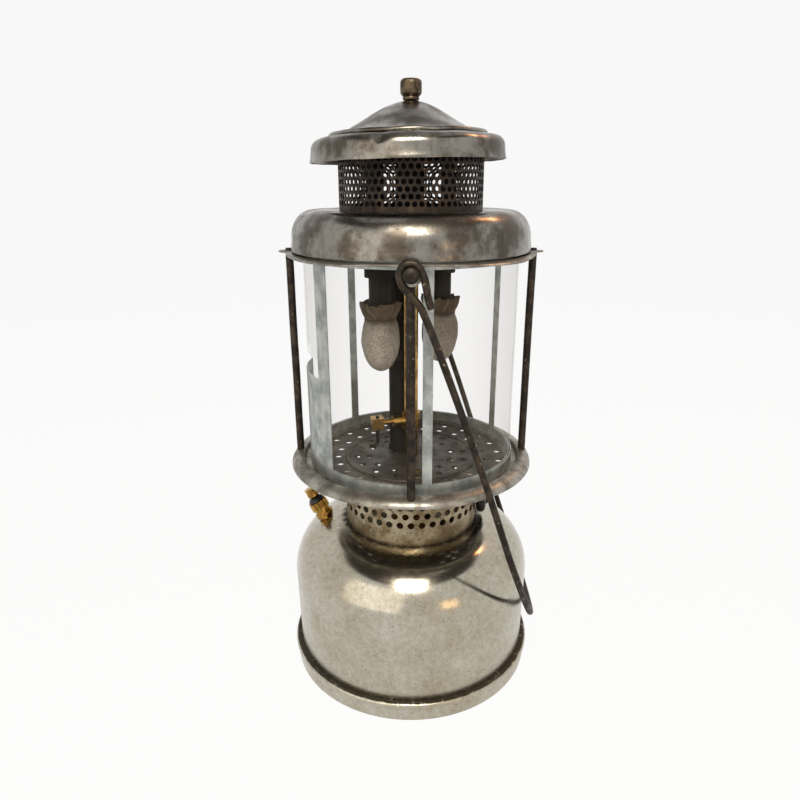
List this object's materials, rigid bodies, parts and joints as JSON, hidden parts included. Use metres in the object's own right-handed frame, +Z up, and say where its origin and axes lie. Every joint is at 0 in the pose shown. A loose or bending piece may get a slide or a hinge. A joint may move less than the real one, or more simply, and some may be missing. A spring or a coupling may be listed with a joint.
{
  "type": "gasoline lantern",
  "caption": "Gasoline mantle lantern with round fount, perforated collar, wire cage, mica globe, twin mantles, perforated ventilator with domed cap and a swinging wire bail.",
  "frame": {"origin": "on the lantern's axis, on the plane of the foot rim", "axes": "+Z up along the lantern's axis, -Y toward the viewer of the picture, +X to the valve wheel's side"},
  "size_m": [0.149, 0.1518, 0.3318],
  "materials": {
    "nickel_plate": "worn nickel plate over brass",
    "brass": "bare brass, tarnished",
    "gasket_rubber": "black rubber",
    "collar_brass": "nickel plate worn to brass, rust specks",
    "aged_steel": "dull steel, brown rust",
    "sooty_iron": "blackened by heat",
    "mantle_knit": "knitted mantle cloth",
    "dull_nickel": "tarnished nickel plate",
    "bronze_nut": "dark bronze patina",
    "tinned_steel": "tinned sheet",
    "mica": "clear sheet mica",
    "black_wheel": "black moulded wheel"
  },
  "bodies": {
    "lantern": {"fount": "nickel_plate", "fount_bottom": "nickel_plate", "fount_boss": "brass", "filler_neck": "brass", "filler_gasket": "gasket_rubber", "valve_body": "brass", "pickup_tube": "brass", "packing_nut": "brass", "collar": "collar_brass", "collar_base": "collar_brass", "burner_plate": "aged_steel", "base_ring": "aged_steel", "post_front": "aged_steel", "post_right": "aged_steel", "post_back": "aged_steel", "post_left": "aged_steel", "top_ring": "aged_steel", "bail_rivets": "aged_steel", "generator": "brass", "generator_nut": "brass", "gas_jet": "brass", "cleaner_block": "brass", "air_tube": "sooty_iron", "manifold": "sooty_iron", "burner_tube_left": "sooty_iron", "burner_tube_right": "sooty_iron", "burner_screen_left": "sooty_iron", "burner_screen_right": "sooty_iron", "mantle_left": "mantle_knit", "mantle_right": "mantle_knit", "stud": "aged_steel", "stud_nut": "aged_steel"},
    "ventilator": {"vent_shell": "dull_nickel", "vent_gallery": "sooty_iron", "vent_spider": "sooty_iron", "vent_cap": "dull_nickel"},
    "ball_nut": {"ball_nut": "bronze_nut"},
    "globe": {"globe_bottom_ring": "tinned_steel", "globe_top_ring": "tinned_steel", "globe_strips": "tinned_steel", "globe_mica": "mica", "globe_panel": "tinned_steel"},
    "bail": {"bail": "aged_steel"},
    "valve": {"valve_stem": "aged_steel", "valve_wheel": "black_wheel", "wheel_screw": "aged_steel"},
    "tip_cleaner": {"cleaner_stem": "brass", "cleaner_lever": "sooty_iron"},
    "needle": {"cleaning_needle": "aged_steel"},
    "filler_plug": {"filler_plug": "sooty_iron"},
    "filler_cap": {"filler_cap": "brass"},
    "air_screw": {"air_screw": "brass"}
  },
  "joints": [
    {"name": "bail_swing", "type": "hinge", "parent": "lantern", "child": "bail", "pos_m": [0, 0, 0.24495], "axis": [0, -1, 0], "range_deg": [0, 321]},
    {"name": "ventilator_lift", "type": "slide", "parent": "lantern", "child": "ventilator", "axis": [0, 0, 1], "range_m": [0, 0.22]},
    {"name": "globe_lift", "type": "slide", "parent": "lantern", "child": "globe", "axis": [0, 0, 1], "range_m": [0, 0.121]},
    {"name": "ball_nut_turn", "type": "hinge", "parent": "ventilator", "child": "ball_nut", "pos_m": [0, 0, 0.325], "axis": [0, 0, 1], "range_deg": [0, 1800]},
    {"name": "valve_turn", "type": "hinge", "parent": "lantern", "child": "valve", "pos_m": [0.04, 0, 0.1014], "axis": [1, 0, 0], "range_deg": [0, 450]},
    {"name": "tip_cleaner_turn", "type": "hinge", "parent": "lantern", "child": "tip_cleaner", "pos_m": [0, 0, 0.1521], "axis": [-0.9537, -0.3007, 0], "range_deg": [0, 90]},
    {"name": "needle_slide", "type": "slide", "parent": "lantern", "child": "needle", "axis": [0, 0, 1], "range_m": [0, 0.0015]},
    {"name": "filler_plug_lift", "type": "slide", "parent": "lantern", "child": "filler_plug", "axis": [-0.4738, 0.0624, 0.8784], "range_m": [0, 0.0075]},
    {"name": "filler_cap_turn", "type": "hinge", "parent": "filler_plug", "child": "filler_cap", "pos_m": [-0.05453, 0.00718, 0.08687], "axis": [-0.4738, 0.0624, 0.8784], "range_deg": [0, 637.8]},
    {"name": "air_screw_turn", "type": "hinge", "parent": "filler_plug", "child": "air_screw", "pos_m": [-0.05453, 0.00718, 0.08687], "axis": [-0.4738, 0.0624, 0.8784], "range_deg": [0, 720]}
  ],
  "couplings": [
    {"joint": "globe_lift", "follows": "ventilator_lift", "ratio": 0.55},
    {"joint": "needle_slide", "follows": "tip_cleaner_turn", "m_per_rad": 0.00095493},
    {"joint": "filler_plug_lift", "follows": "filler_cap_turn", "m_per_rad": 0.00067375}
  ]
}
